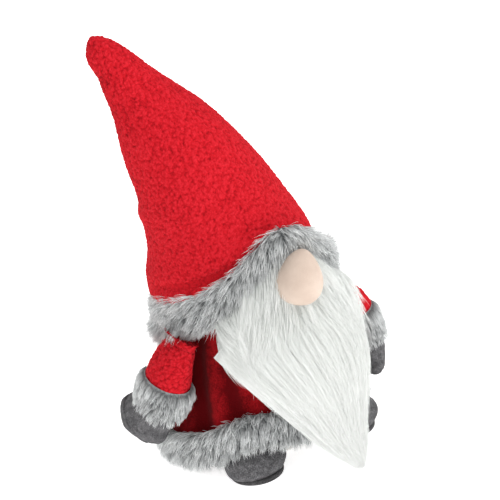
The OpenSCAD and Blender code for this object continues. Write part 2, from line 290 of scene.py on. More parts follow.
def stuffed(rings, first_pole, last_pole):
    """A closed form pushed out by its stuffing. A slightly smaller copy is remeshed to even faces
    and blown up as cloth under pressure. Each point then moves as the cloth near it did, weighed
    by w = exp(-(gap / voxel)^2), in or out only. The middle move is set to the rise, and none
    goes further in than the sink or further out than the cap."""
    small = rings - STUFFING_START * outward(rings)
    form = rounded("stuffing_form", small[::2, ::3], first_pole, last_pole)
    even = form.modifiers.new("even", "REMESH")
    even.mode, even.voxel_size = "VOXEL", STUFFING_VOXEL * MM
    depsgraph = bpy.context.evaluated_depsgraph_get()
    form.data = bpy.data.meshes.new_from_object(form.evaluated_get(depsgraph))
    form.modifiers.clear()
    before = positions(form)
    cloth = form.modifiers.new("pressure", "CLOTH").settings
    cloth.use_pressure, cloth.uniform_pressure_force = True, STUFFING_PRESSURE
    cloth.effector_weights.gravity = 0
    for step in range(1, STUFFING_STEPS + 1):
        bpy.context.scene.frame_set(step)
    move = positions(form) - before
    size = np.linalg.norm(move, axis=1, keepdims=True)
    move *= np.minimum(1, STUFFING_CAP / np.maximum(size, 1e-6))
    bpy.data.objects.remove(form)
    bpy.context.scene.frame_set(1)
    rise = []
    for ring, facing, first in zip(small, outward(rings), rings):
        gap = ((ring[:, None] - before[None]) ** 2).sum(-1)
        weight = np.exp(-(gap - gap.min(1, keepdims=True)) / STUFFING_VOXEL ** 2)
        went = ring + weight @ move / weight.sum(1, keepdims=True) - first
        rise.append((went * facing).sum(-1, keepdims=True))
    rise = np.stack(rise)
    rise = np.clip(rise - np.median(rise) + STUFFING_RISE, -STUFFING_SINK, STUFFING_CAP)
    return rings + rise * outward(rings)


# ---------------------------------------------------------------- materials


def colour(hex_value):
    """sRGB hex to the linear colour that the shaders take."""
    srgb = np.array([int(hex_value[i:i + 2], 16) for i in (1, 3, 5)]) / 255
    linear = np.where(srgb <= 0.04045, srgb / 12.92, ((srgb + 0.055) / 1.055) ** 2.4)
    return (*linear.tolist(), 1.0)


def node(tree, kind, sockets=(), stops=(), **settings):
    """Adds a node. A socket takes a plain value or another node's output, and stops are a
    colour ramp's places and colours."""
    made = tree.nodes.new("ShaderNode" + kind)
    for key, value in settings.items():
        setattr(made, key, value)
    for key, value in dict(sockets).items():
        if isinstance(value, bpy.types.NodeSocket):
            tree.links.new(value, made.inputs[key])
        else:
            made.inputs[key].default_value = value
    for k, (place, shade) in enumerate(stops):
        stop = made.color_ramp.elements[k] if k < 2 else made.color_ramp.elements.new(place)
        stop.position, stop.color = place, colour(shade)
    return made


def new_material(name):
    """An empty material with its tree and the place of its pattern, in metres."""
    material = bpy.data.materials.new(name)
    material.use_nodes = True
    tree = material.node_tree
    tree.nodes.clear()
    return material, tree, node(tree, "TexCoord").outputs["Object"]


def surface(tree, base, height, depth, **constants):
    """Ends a material: a Principled shader with a colour, a relief and constant settings."""
    bump = node(tree, "Bump", {"Height": height, "Distance": depth * MM, "Strength": 1.0})
    shader = node(tree, "BsdfPrincipled", {"Base Color": base, "Normal": bump.outputs[0]})
    for key, value in constants.items():
        shader.inputs[key.replace("_", " ")].default_value = value
    node(tree, "OutputMaterial", {"Surface": shader.outputs[0]})


def per_metre(size):
    """Pattern scale for a feature of that size in millimetres."""
    return 1 / (size * MM)


def boucle(name, dark, mid, bright):
    """Curly boucle fleece, knitted and brushed: tight curls with painted shade in the creases
    between them, and no gloss.
    """
    material, tree, place = new_material(name)
    bend = node(tree, "TexNoise", {"Vector": place, "Scale": per_metre(4), "Detail": 1.0})
    spread = node(tree, "VectorMath", {0: bend.outputs["Color"], 1: (0.0022,) * 3},
                  operation="MULTIPLY")
    moved = node(tree, "VectorMath", {0: place, 1: spread.outputs[0]}, operation="ADD")
    curl = node(tree, "TexVoronoi", {"Vector": moved.outputs[0], "Scale": per_metre(1.5)},
                feature="SMOOTH_F1")
    fibre = node(tree, "TexNoise", {"Vector": place, "Scale": per_metre(0.7), "Detail": 2.0})
    patch = node(tree, "TexNoise", {"Vector": place, "Scale": per_metre(26), "Detail": 2.0})
    # Painted shade: the attribute read here colours the cloth by its relief, so curl hollows and
    # the hat's dents come out darker and curl tops lighter.
    crown = node(tree, "Attribute", attribute_name="crown").outputs["Fac"]
    high = node(tree, "Math", {0: curl.outputs["Distance"], 1: -0.85, 2: 0.72},
                operation="MULTIPLY_ADD")
    both = node(tree, "Math", {0: crown, 1: 0.8, 2: high.outputs[0]}, operation="MULTIPLY_ADD")
    tone = node(tree, "Math", {0: patch.outputs["Fac"], 1: 0.15, 2: both.outputs[0]},
                operation="MULTIPLY_ADD")
    fine = node(tree, "Math", {0: fibre.outputs["Fac"], 1: 0.3, 2: tone.outputs[0]},
                operation="MULTIPLY_ADD")
    shade = node(tree, "MapRange", {"Value": fine.outputs[0], "From Min": 0.2, "From Max": 1.5})
    base = node(tree, "ValToRGB", {"Fac": shade.outputs[0]},
                stops=[(0.0, dark), (1.0, bright), (0.5, mid)])
    relief = node(tree, "Math", {0: fibre.outputs["Fac"], 1: 0.4, 2: high.outputs[0]},
                  operation="MULTIPLY_ADD")
    surface(tree, base.outputs[0], relief.outputs[0], 0.9, Roughness=0.95,
            Specular_IOR_Level=0.05, Sheen_Weight=0.02, Sheen_Roughness=0.5)
    return material


def brushed_fleece(name, dark, mid, bright):
    """Brushed fleece: a short smooth nap in soft patches where it has been stroked, with painted
    shade in the hollows of its folds and painted light on their ridges.
    """
    material, tree, place = new_material(name)
    nap = node(tree, "TexNoise", {"Vector": place, "Scale": per_metre(0.9), "Detail": 3.0})
    patch = node(tree, "TexNoise", {"Vector": place, "Scale": per_metre(9), "Detail": 3.0,
                                    "Distortion": 0.6})
    # Painted shade and light: the folds' depth, kept on each point, darkens the hollows and
    # lightens the ridges.
    painted_fold_shade = node(tree, "Attribute", attribute_name="crown").outputs["Fac"]
    tone = node(tree, "Math", {0: nap.outputs["Fac"], 1: 0.9, 2: painted_fold_shade},
                operation="MULTIPLY_ADD")
    total = node(tree, "Math", {0: patch.outputs["Fac"], 1: 0.6, 2: tone.outputs[0]},
                 operation="MULTIPLY_ADD")
    shade = node(tree, "MapRange", {"Value": total.outputs[0], "From Min": 0.65,
                                    "From Max": 1.35})
    base = node(tree, "ValToRGB", {"Fac": shade.outputs[0]},
                stops=[(0.0, dark), (1.0, bright), (0.5, mid)])
    surface(tree, base.outputs[0], nap.outputs["Fac"], 0.5, Roughness=1.0,
            Specular_IOR_Level=0.03, Sheen_Weight=0.03, Sheen_Roughness=0.5)
    return material


def felt(name, dark, mid, bright):
    """Brushed wool-look felt: matted fibres of two greys, so it looks speckled and dry."""
    material, tree, place = new_material(name)
    matted = node(tree, "TexNoise", {"Vector": place, "Scale": per_metre(0.8), "Detail": 3.0,
                                     "Roughness": 0.7, "Distortion": 1.0})
    patch = node(tree, "TexNoise", {"Vector": place, "Scale": per_metre(5), "Detail": 2.0})
    total = node(tree, "Math", {0: patch.outputs["Fac"], 1: 0.35, 2: matted.outputs["Fac"]},
                 operation="MULTIPLY_ADD")
    shade = node(tree, "MapRange", {"Value": total.outputs[0], "From Min": 0.42, "From Max": 0.95})
    base = node(tree, "ValToRGB", {"Fac": shade.outputs[0]},
                stops=[(0.0, dark), (1.0, bright), (0.5, mid)])
    surface(tree, base.outputs[0], matted.outputs["Fac"], 0.5, Roughness=0.95,
            Specular_IOR_Level=0.08, Sheen_Weight=0.05, Sheen_Roughness=0.5)
    return material


def knit(name, dark, bright, rib=0.6):
    """Fine jersey or woven cloth: faint loops a fraction of a millimetre apart, drawn twice as
    coarse as they are so that they show."""
    material, tree, place = new_material(name)
    loops = node(tree, "TexVoronoi", {"Vector": place, "Scale": per_metre(rib)})
    patch = node(tree, "TexNoise", {"Vector": place, "Scale": per_metre(14), "Detail": 2.0})
    total = node(tree, "Math", {0: loops.outputs["Distance"], 1: 0.25, 2: patch.outputs["Fac"]},
                 operation="MULTIPLY_ADD")
    base = node(tree, "ValToRGB", {"Fac": total.outputs[0]}, stops=[(0.3, dark), (0.8, bright)])
    surface(tree, base.outputs[0], loops.outputs["Distance"], 0.12, Roughness=0.8,
            Specular_IOR_Level=0.25, Sheen_Weight=0.1, Sheen_Roughness=0.4)
    return material


def fur(name, root, middle, tip, gloss, glow=0.0):
    """Faux fur hairs: dark at the root and pale at the tip, each hair and lock its own shade. The
    glow stands for light that passes through a thick white pile."""
    material, tree, place = new_material(name)
    along = node(tree, "Attribute", attribute_name="along").outputs["Fac"]
    shade = node(tree, "Attribute", attribute_name="shade").outputs["Fac"]
    reach = node(tree, "Math", {0: shade, 1: 0.6, 2: -0.3}, operation="MULTIPLY_ADD")
    total = node(tree, "Math", {0: along, 1: reach.outputs[0]}, operation="ADD")
    base = node(tree, "ValToRGB", {"Fac": total.outputs[0]},
                stops=[(0.0, root), (1.0, tip), (0.55, middle)])
    grain = node(tree, "TexNoise", {"Vector": place, "Scale": per_metre(1.5)})
    surface(tree, base.outputs[0], grain.outputs["Fac"], 0.03, Roughness=gloss,
            Specular_IOR_Level=0.1, Sheen_Weight=0.1, Sheen_Roughness=0.4,
            Emission_Color=(0.9, 0.92, 0.9, 1), Emission_Strength=glow)
    return material


def loose(name, dark, bright, grain):
    """Loose filling, pellets or grey board: a speckle of the grain's size."""
    material, tree, place = new_material(name)
    speck = node(tree, "TexVoronoi", {"Vector": place, "Scale": per_metre(grain)})
    base = node(tree, "ValToRGB", {"Fac": speck.outputs["Distance"]},
                stops=[(0.0, bright), (0.7, dark)])
    surface(tree, base.outputs[0], speck.outputs["Distance"], grain * 0.3, Roughness=0.9,
            Specular_IOR_Level=0.2)
    return material


RED_BOUCLE = boucle("red_boucle_fleece", "#7c0c14", "#c21923", "#dc2935")
COAT_FLEECE = brushed_fleece("deep_red_brushed_fleece", "#5c080d", "#9c151b", "#c02a31")
DARK_FELT = felt("dark_heather_felt", "#282829", "#5a595b", "#989798")
SOLE_FELT = felt("sole_felt", "#232324", "#484748", "#787677")
SKIN_KNIT = knit("pale_jersey", "#c8b3a4", "#d4c1b2")
BEARD_KNIT = knit("white_backing_knit", "#d4d6d4", "#ebecea", rib=1.2)
LINING = knit("lining_weave", "#d8d4ca", "#f0eee8", rib=1.0)
GREY_FUR = fur("frosted_grey_fur", "#838687", "#cccece", "#fbfdfc", 0.7)
GREY_UNDERFUR = felt("grey_underfur", "#75787a", "#9a9d9e", "#bcbfc0")
WHITE_FUR = fur("long_white_fur", "#dfe1de", "#eceeeb", "#f6f7f5", 0.6, 0.1)
FILLING = loose("polyester_filling", "#d9d7d0", "#f2f1ec", 6)
PELLETS = loose("plastic_pellets", "#6d6a64", "#9a968e", 3)
BOARD = loose("grey_board", "#9c7a50", "#b89868", 0.8)

# ---------------------------------------------------------------- the frame's own forms

HAT_WIDE, HAT_DEEP, HAT_Y, HAT_BOW = 70, 67, -6, 14
HAT_MOUTH = np.array([0, HAT_Y, 136])
HAT_TIP = np.array([-73, 34, 367])
HAT_TIP_R = 11
BRIM_HALF = 15
COAT_HEM_R, COAT_NECK_R, COAT_TOP = 82, 65, 132
HEM_HALF, HEM_BACK_Z, HEM_FRONT_Z, BOOT_ARCH = 14, 15.5, 42, 10
FABRIC, GAP = 2, 0.25


def brim_z(turn):
    """Height of the brim's middle: lower behind, and arched over the nose."""
    return 138 + 20 * cosd(turn) + 38 * bell(side_of(turn), 33)


def brim_up(turn):
    return BRIM_HALF - 3.5 * bell(side_of(turn), 33)


def hem_z(turn):
    """Height of the hem's middle: low behind, higher in front, and arched over each boot."""
    front = ((1 + cosd(turn)) / 2) ** 1.8
    return mix(HEM_BACK_Z, HEM_FRONT_Z, front) + BOOT_ARCH * bell(side_of(turn) - 38, 20)


def round_axis(turn, wide, deep, y, z):
    """Points of a level ellipse round the figure."""
    return stack(wide * sind(turn), y - deep * cosd(turn), z)


# ---------------------------------------------------------------- hat


def hat_line(t):
    """The hat's middle: a straight lean to its tip, bowed to the figure's left on the way."""
    lean = unit(np.array([-HAT_TIP[0], -HAT_TIP[1], 0.0]))
    t = np.asarray(t)[..., None]
    return mix(HAT_MOUTH, HAT_TIP, t) + HAT_BOW * sind(180 * t ** 0.75) * lean


def hat_size(t):
    """Share of the mouth's width: nearly straight sides, a little full low down and drawn in
    under the tip, which is rounded."""
    cone = (1 - t) ** 0.86 + 0.08 * sind(180 * t ** 0.6) - 0.065 * bell(t - 0.8, 0.13)
    return mix(cone, np.sqrt(np.maximum(1 - t ** 12, 0)), HAT_TIP_R / HAT_WIDE)


def hat_slope(t):
    return unit(hat_line(np.minimum(1, t + 0.05)) - hat_line(np.maximum(0, t - 0.05)))


def hat_points(t, turn, inset=0):
    """Rings square to the hat's middle line, level at the mouth, whose edge follows the brim."""
    axis = unit(mix(np.array([0, 0, 1.0]), hat_slope(t), np.minimum(1, 1.6 * t)[..., None]))
    side = unit(np.cross(np.array([0, 1.0, 0]), axis))
    front = np.cross(side, axis)
    wide = (HAT_WIDE * hat_size(t) - inset)[..., None]
    deep = (mix(HAT_DEEP, HAT_WIDE, t) * hat_size(t) - inset)[..., None]
    edge = (brim_z(turn) - 6 - HAT_MOUTH[2]) * (1 - t) ** 4
    lift = stack(0, 0, edge)
    return (hat_line(t) + wide * sind(turn)[..., None] * side
            + deep * cosd(turn)[..., None] * front + lift)


def even_shares(line, count, last=1.0):
    """Shares that cut a line into steps of even length."""
    fine = np.linspace(0, last, 2000)
    run = np.linalg.norm(np.diff(line(fine), axis=0), axis=1)
    run = np.concatenate([[0], np.cumsum(run)])
    return np.interp(np.linspace(0, run[-1], count), run, fine)


HAT_ROWS, HAT_COLS, HAT_SLANT = 246, 384, 265
CURL, CURL_HEIGHT = 2.8, 1.5


def hat_creases(t, turn):
    """Soft dents and rolls in the hat's cloth, in millimetres: each is an oval of turn and
    height, below 0 where it goes in."""
    dents = ((240, 0.14, 50, 0.11, 8.5), (238, 0.50, 34, 0.08, -1.8),
             (240, 0.415, 34, 0.03, 2.0), (238, 0.78, 50, 0.10, -1.8),
             (255, 0.955, 45, 0.03, 2.0), (255, 0.885, 50, 0.03, -1.5),
             (296, 0.10, 30, 0.022, 3.0), (290, 0.145, 36, 0.02, -3.6),
             (318, 0.135, 14, 0.03, -2.4), (330, 0.16, 14, 0.04, 1.8),
             (262, 0.045, 26, 0.02, -3.4), (276, 0.075, 20, 0.014, 2.2),
             (100, 0.3, 40, 0.06, -1.5), (150, 0.55, 40, 0.05, -1.5),
             (60, 0.12, 30, 0.04, -1.4), (190, 0.25, 40, 0.05, -1.5),
             (20, 0.62, 60, 0.08, 0.8), (90, 0.06, 40, 0.08, -3.0))
    return sum(depth * bell(signed(turn - a), w) * bell(t - h, tall)
               for a, h, w, tall, depth in dents)


def curled(points, out):
    """Points with curly pile standing on them, and how high each is in its curl, a height that the
    boucle also turns into painted shade in the creases.
    """
    crown = curls(warped(points, 5, 0.9), CURL)
    fine = curls(warped(points, 3, 0.5, seed=7), CURL * 0.55, seed=20)
    crown = 0.7 * crown + 0.3 * fine
    return points + (CURL_HEIGHT * crown)[..., None] * out, crown


def make_hat():
    """The hat: its outer cloth with curls and creases, turned in at the mouth to a plain wall
    one cloth's thickness inside."""
    turn = np.linspace(0, 360, HAT_COLS, endpoint=False)[None, :]
    profile = even_shares(lambda t: stack(HAT_WIDE * hat_size(t), HAT_SLANT * t), HAT_ROWS + 1)
    t = profile[:-1, None] + 0 * turn
    turn = turn + 0 * t
    shape = hat_points(t, turn)
    out = outward(shape)
    crease = hat_creases(t, turn)
    shape, crown = curled(shape + (crease - 0.4)[..., None] * out, out)
    # Painted shade: the dents in the cloth are coloured darker than the rest of it.
    crown = crown + 0.22 * np.minimum(crease, 0)
    inner = np.linspace(0.0, 0.97, 12)[:, None] + 0 * turn[:12]
    lining = hat_points(inner, turn[:12], FABRIC)
    slack = np.maximum(hat_creases(inner, turn[:12]), -1.6)
    lining = lining + slack[..., None] * outward(lining)
    rings = np.concatenate([shape[::-1], lining])
    crowns = np.concatenate([crown[::-1], np.full(inner.shape, 0.3)])
    hat = rounded("hat", rings, hat_line(1.0), hat_line(0.975), crown=crowns)
    return finished(hat, RED_BOUCLE, "red_fleece", "figure", "hat_shell")


# ---------------------------------------------------------------- fur

HAIR_SIDES = 3


def hairs(name, path, across, width, shade, flat=1.0):
    """Hairs as closed three-sided spikes. path holds each hair's points from root to tip, across
    is a direction off its bend, and a hair is widest two fifths of the way along."""
    count, steps = path.shape[:2]
    rings = steps - 1
    along = unit(np.gradient(path, axis=1))[:, :rings]
    across = across[:, None]
    one = unit(across - (across * along).sum(-1, keepdims=True) * along)
    other = np.cross(along, one)
    share = np.arange(rings) / rings
    radius = width[:, None] / 2 * (0.6 + 1.2 * share - 1.5 * share ** 2)
    angle = np.arange(HAIR_SIDES) * 360 / HAIR_SIDES + 90
    ring = (cosd(angle)[:, None] * one[:, :, None]
            + flat * sind(angle)[:, None] * other[:, :, None])
    points = path[:, :rings, None] + radius[..., None, None] * ring
    points = np.concatenate([points.reshape(count, -1, 3), path[:, -1:]], axis=1)
    size = rings * HAIR_SIDES + 1
    first = (np.arange(count) * size)[:, None, None]
    sides = wall(rings, HAIR_SIDES)[None] + first
    tips = fan((rings - 1) * HAIR_SIDES, HAIR_SIDES, size - 1, flip=True)[None] + first
    roots = np.array([[0, 2, 1]])[None] + first
    place = np.concatenate([np.repeat(share, HAIR_SIDES), [1.0]])
    faces = [group.reshape(-1, group.shape[-1]) for group in (sides, tips, roots)]
    return piece(name, points, faces, along=np.broadcast_to(place, (count, size)),
                 shade=np.broadcast_to(shade[:, None], (count, size)))


def skin_frame(skin, u, v):
    """Place on a skin, its outward direction, and its directions of growing u and v."""
    step = 2e-3
    across = skin(u + step, v) - skin(u - step, v)
    down = skin(u, v + step) - skin(u, v - step)
    return skin(u, v), unit(np.cross(down, across)), unit(across), unit(down)


def nearest_lock(u, v, cols, rows, seed):
    """The lock that each hair belongs to: the nearest of one jittered point in each cell of a
    grid over the skin. Gives its place and a fixed chance."""
    cell = np.floor(stack(u * cols, v * rows)).astype(np.int64)
    best = np.full(u.shape, 1e9)
    at_u, at_v, luck = np.zeros_like(u), np.zeros_like(v), np.zeros_like(u)
    for step in itertools.product((-1, 0, 1), repeat=2):
        near = cell + np.array(step)
        key = np.mod(near, np.array([cols, 1000]))
        spot = near + stack(chance(key, seed), chance(key, seed + 1))
        gap = ((stack(u * cols, v * rows) - spot) ** 2).sum(-1)
        closer = gap < best
        best = np.where(closer, gap, best)
        at_u = np.where(closer, spot[..., 0] / cols, at_u)
        at_v = np.where(closer, spot[..., 1] / rows, at_v)
        luck = np.where(closer, chance(key, seed + 2), luck)
    return at_u, np.clip(at_v, 0, 1), luck


def grown(skin, u, v, length, lay, comb, steps):
    """Paths of hairs that leave a skin and bend over towards the comb's direction. lay is how
    flat a hair ends: 0 stands up and 1 lies on the skin."""
    root, out, across, down = skin_frame(skin, u, v)
    swirl = comb(u, v)
    way = cosd(swirl)[:, None] * down + sind(swirl)[:, None] * across
    path = [root]
    for k in range(1, steps):
        bend = (lay * (k / (steps - 1)) ** 0.6)[:, None]
        path.append(path[-1] + unit(mix(out, way, bend)) * (length / (steps - 1))[:, None])
    return np.stack(path, axis=1), np.cross(out, way)


def on_floor(path, soft=6.0):
    """Hairs near the floor are pressed up so that none goes through it."""
    z = path[..., 2]
    path[..., 2] = np.where(z < soft, soft * np.exp((z - soft) / soft), z)
    return path


def pelt(name, skin, count, length, width, comb, seed, lay=(0.5, 0.9), locks=(60, 6), clump=0.6,
         steps=4, short=0.35, splay=0.18):
    """A piece of fur: hairs spread evenly over a skin, gathered towards the tips of their locks,
    with a share of short dark ones between the long pale ones."""
    rng = np.random.default_rng(seed)
    u, v = rng.random(count), rng.random(count)
    at_u, at_v, luck = nearest_lock(u, v, *locks, seed)
    under = rng.random(count) < short
    long = mix(*length, 0.5 * rng.random(count) + 0.5 * luck) * np.where(under, 0.6, 1)
    lie = mix(*lay, 0.6 * rng.random(count) + 0.4 * luck)
    path, across = grown(skin, u, v, long, lie, comb, steps)
    led, _ = grown(skin, at_u, at_v, long, mix(*lay, luck), comb, steps)
    share = np.linspace(0, 1, steps)[None, :, None]
    path = mix(path, led, clump * share * np.where(under, 0.3, 1)[:, None, None])
    stray = rng.normal(size=(count, 1, 3)) * (splay * long)[:, None, None]
    path = on_floor(path + stray * share ** 1.5)
    shade = np.clip(0.55 * luck + 0.45 * rng.random(count) - 0.45 * under, 0, 1)
    return hairs(name, path, across, mix(*width, rng.random(count)), shade)


def half_round(v, low, high, thick):
    """Section of a band seen from its side: v from 0 at its upper edge to 1 at its lower edge."""
    angle = 180 * (v - 0.5)
    return low + thick * cosd(angle), -high * sind(angle)


def brim_skin(u, v):
    """The outside of the hat's fur band."""
    turn = 360 * u
    out, up = half_round(v, GAP + 0.8, brim_up(turn) - 1.5, 3.0)
    return round_axis(turn, HAT_WIDE + out, HAT_DEEP + out, HAT_Y, brim_z(turn) + up)


def hem_skin(u, v):
    """The outside of the coat's fur band."""
    turn = 360 * u
    out, up = half_round(v, GAP + 0.8, HEM_HALF - 1.5, 3.5)
    radius = COAT_HEM_R + out
    return round_axis(turn, radius, radius, 0, hem_z(turn) + up)


def band(name, skin, wide, deep, y):
    """A closed band: the skin on its outside, and its height again on an upright oval wall
    behind it."""
    u = np.linspace(0, 1, 240, endpoint=False)[None, :]
    front = skin(*crossed(u, np.linspace(0, 1, 14)[:, None]))
    u, v = crossed(u, np.linspace(1, 0, 4)[:, None])
    rear = round_axis(360 * u, wide, deep, y, skin(u, v)[..., 2])
    return looped(name, np.concatenate([front, rear]))


def brim_comb(u, v):
    """The brim's pile is stroked away from the nose on either side, stands up along its upper
    edge over the brow, and swirls in places."""
    turn = signed(360 * u)
    away = 40 * np.tanh(turn / 30) * mix(1.0, 0.5, ease(60, 150, np.abs(turn)))
    place = round_axis(turn, HAT_WIDE, HAT_DEEP, HAT_Y, 40 * v)
    upper = 70 * (1 - ease(0.05, 0.4, v)) * np.sign(turn) * bell(np.abs(turn) - 25, 30)
    return away + upper + 36 * noise(place, 24, seed=3)


def tuft_skin(u, v):
    """The brim's lower edge over the right sleeve, where a few loose locks hang out."""
    return brim_skin(mix(0.62, 0.80, u), mix(0.55, 0.95, v))


def hem_comb(u, v):
    """The hem's pile hangs down, with slow swirls."""
    turn = signed(360 * u)
    place = round_axis(turn, COAT_HEM_R, COAT_HEM_R, 0, 40 * v)
    return 14 * np.tanh(turn / 40) + 24 * noise(place, 20, seed=11)


def make_brim():
    band_piece = band("brim_band", brim_skin, HAT_WIDE + 0.5, HAT_DEEP + 0.5, HAT_Y)
    finished(band_piece, GREY_UNDERFUR, "grey_fur", "figure", "brim_fur")
    for k in range(2):
        tuft = pelt(f"brim_fur_{k + 1}", brim_skin, 10000, (9, 17), (0.35, 0.6), brim_comb,
                    seed=101 + k, lay=(0.66, 0.94), locks=(64, 4), clump=0.6, splay=0.12)
        finished(tuft, GREY_FUR, "grey_fur", "figure")
    locks = pelt("brim_fur_tufts", tuft_skin, 900, (14, 24), (0.3, 0.5),
                 lambda u, v: -30 + 40 * noise(tuft_skin(u, v), 14, seed=121), seed=123,
                 lay=(0.45, 0.8), locks=(14, 2), clump=0.8, short=0.0, splay=0.1)
    finished(locks, GREY_FUR, "grey_fur", "figure")


def make_hem():
    band_piece = band("hem_band", hem_skin, COAT_HEM_R + 0.5, COAT_HEM_R + 0.5, 0)
    finished(band_piece, GREY_UNDERFUR, "grey_fur", "figure", "hem_fur")
    for k in range(2):
        tuft = pelt(f"hem_fur_{k + 1}", hem_skin, 10500, (9, 15), (0.35, 0.55), hem_comb,
                    seed=201 + k, lay=(0.66, 0.92), locks=(72, 4), clump=0.55, splay=0.12)
        finished(tuft, GREY_FUR, "grey_fur", "figure")


# ---------------------------------------------------------------- coat


def coat_folds(turn, s):
    """How far the coat stands off its plain flare, in millimetres: upright folds that grow
    towards the hem, a deep one beside each sleeve, and a pull in under the beard."""
    turn = signed(turn)
    free = 1 - 0.65 * s
    folds = ((-66, 6, -5.5), (-54, 7, 2.8), (-43, 5, -3.4), (-31, 9, 2.8), (-14, 7, -3.2),
             (4, 10, 2.2), (22, 8, -3.0), (40, 9, 2.4), (58, 8, -4.5), (84, 12, 2.5),
             (108, 9, -4.0), (132, 12, 2.5), (156, 9, -3.6), (178, 12, 2.4), (-160, 9, -3.6),
             (-136, 12, 2.6), (-112, 9, -4.0), (-90, 9, 2.4))
    slant = 5 * sind(150 * s)
    total = sum(depth * bell(signed(turn - centre - slant * np.sign(centre + 0.1)), width)
                for centre, width, depth in folds)
    return total * free * ease(-0.02, 0.25, s) * 0.9 + 1.2 * sind(3 * turn + 200 * s) * s


def coat_point(turn, s, inset=0):
    """The coat flares from the neck to the hem, and ends just under the brim."""
    radius = mix(COAT_NECK_R, COAT_HEM_R, (1 - s) ** 1.5) - inset + coat_folds(turn, s)
    neck = np.minimum(COAT_TOP, brim_z(turn) - BRIM_HALF - 1.5)
    return round_axis(turn, radius, radius, 0, mix(hem_z(turn), neck, s))


def make_coat():
    """The coat as one closed sheet: its outside from hem to neck and its inside back down."""
    turn = np.linspace(0, 360, 300, endpoint=False)[None, :]
    s = np.linspace(0, 1, 110)[:, None]
    outside = coat_point(*crossed(turn, s))
    outside += 0.35 * noise(outside, 5)[..., None] * unit(outside * np.array([1, 1, 0]))
    inner = np.linspace(1, 0, 24)[:, None]
    inside = coat_point(*crossed(turn, inner), FABRIC - 0.4)
    # Painted shade and light: the folds' depth is kept on each point, so the fleece is darker where
    # a fold goes in and lighter where it stands out.
    crown = np.concatenate([coat_folds(*crossed(turn, s)) / 9, 0 * inner + 0 * turn])
    coat = looped("coat_cloth", np.concatenate([outside, inside]), crown=crown)
    return finished(coat, COAT_FLEECE, "coat_fleece", "figure", "coat")


# ---------------------------------------------------------------- nose

NOSE_R, NOSE_H = 17.5, 44
NOSE_FOOT = np.array([-4, -88, 148])
NOSE_LEAN = (6, 13)


def leaned(points, tilt_x, tilt_y):
    """Points turned about X and then about Y, in degrees."""
    a, b = np.radians(tilt_x), np.radians(tilt_y)
    about_x = np.array([[1, 0, 0], [0, np.cos(a), -np.sin(a)], [0, np.sin(a), np.cos(a)]])
    about_y = np.array([[np.cos(b), 0, np.sin(b)], [0, 1, 0], [-np.sin(b), 0, np.cos(b)]])
    return points @ (about_y @ about_x).T


def make_nose():
    """The nose: an egg, widest below its middle, of cloth pulled smooth over its stuffing."""
    rise = np.linspace(-90, 90, 62)[1:-1, None]
    turn = np.linspace(0, 360, 96, endpoint=False)[None, :]
    radius = NOSE_R * cosd(rise) * (1 - 0.3 * sind(rise))
    local = stack(radius * sind(turn), -radius * cosd(turn),
                  NOSE_H / 2 * (1 + sind(rise)) + 0 * turn)
    rings = leaned(local, *NOSE_LEAN) + NOSE_FOOT
    poles = leaned(np.array([[0, 0, 0], [0, 0, NOSE_H]]), *NOSE_LEAN) + NOSE_FOOT
    rings = stuffed(rings, *poles)
    rings += 0.25 * noise(rings, 9)[..., None] * outward(rings)
    nose = rounded("nose", rings, poles[0], poles[1])
    finished(nose, SKIN_KNIT, "nose_cloth", "figure", "nose_cover")


# ---------------------------------------------------------------- boots

BOOT_X, BOOT_SHIFT, BOOT_Y = 47.5, 2.5, -51
BOOT_LONG, BOOT_WIDE, BOOT_TALL, SOLE_THICK = 46, 54, 30, 4


def boot_size(s):
    """Share of a boot's width at share s of its height: full below, and closed at the top."""
    return np.sqrt(1 - s ** 2.6) * (0.86 + 0.72 * s - 0.86 * s ** 2 + 0.3 * s ** 3)


def make_boot(side, name):
    """A boot's rounded upper, with the seam that closes its toe, and the flat sole under it."""
    mid = np.array([side * BOOT_X + BOOT_SHIFT, BOOT_Y, 0])
    s = np.linspace(0, 1, 46)[:-1, None] ** 0.9
    turn = np.linspace(0, 360, 120, endpoint=False)[None, :]
    ring = stack(BOOT_WIDE / 2 * boot_size(s) * sind(turn),
                 -BOOT_LONG / 2 * boot_size(s) * cosd(turn),
                 SOLE_THICK + GAP + (BOOT_TALL - SOLE_THICK - GAP) * s + 0 * turn)
    top, foot = np.array([0, 0, BOOT_TALL]), np.array([0, 0, SOLE_THICK + GAP])
    ring = stuffed(ring, foot, top)
    out = outward(ring)
    seam = bell(signed(turn), 3.0) * (s > 0.05)
    rumple = 0.8 * noise(ring, 12, seed=5 + side) + 0.3 * noise(ring, 5, seed=9 + side)
    ring = ring + (rumple - 0.9 * seam)[..., None] * out + mid
    boot = rounded(f"boot_upper_{name}", ring, mid + foot, mid + top)
    finished(boot, DARK_FELT, "dark_felt", "figure", f"boot_{name}")
    h = np.linspace(0, 180, 12)[:, None]
    edge = 0.41 * BOOT_WIDE - 1 + 1.2 * sind(h)
    sole_ring = stack(edge * sind(turn), -edge * cosd(turn),
                      SOLE_THICK / 2 * (1 - cosd(h)) + 0 * turn) + mid
    sole = rounded(f"sole_{name}", sole_ring, mid, mid + np.array([0, 0, SOLE_THICK]))
    finished(sole, SOLE_FELT, "sole_felt", "figure", f"boot_sole_{name}")


# ---------------------------------------------------------------- arms

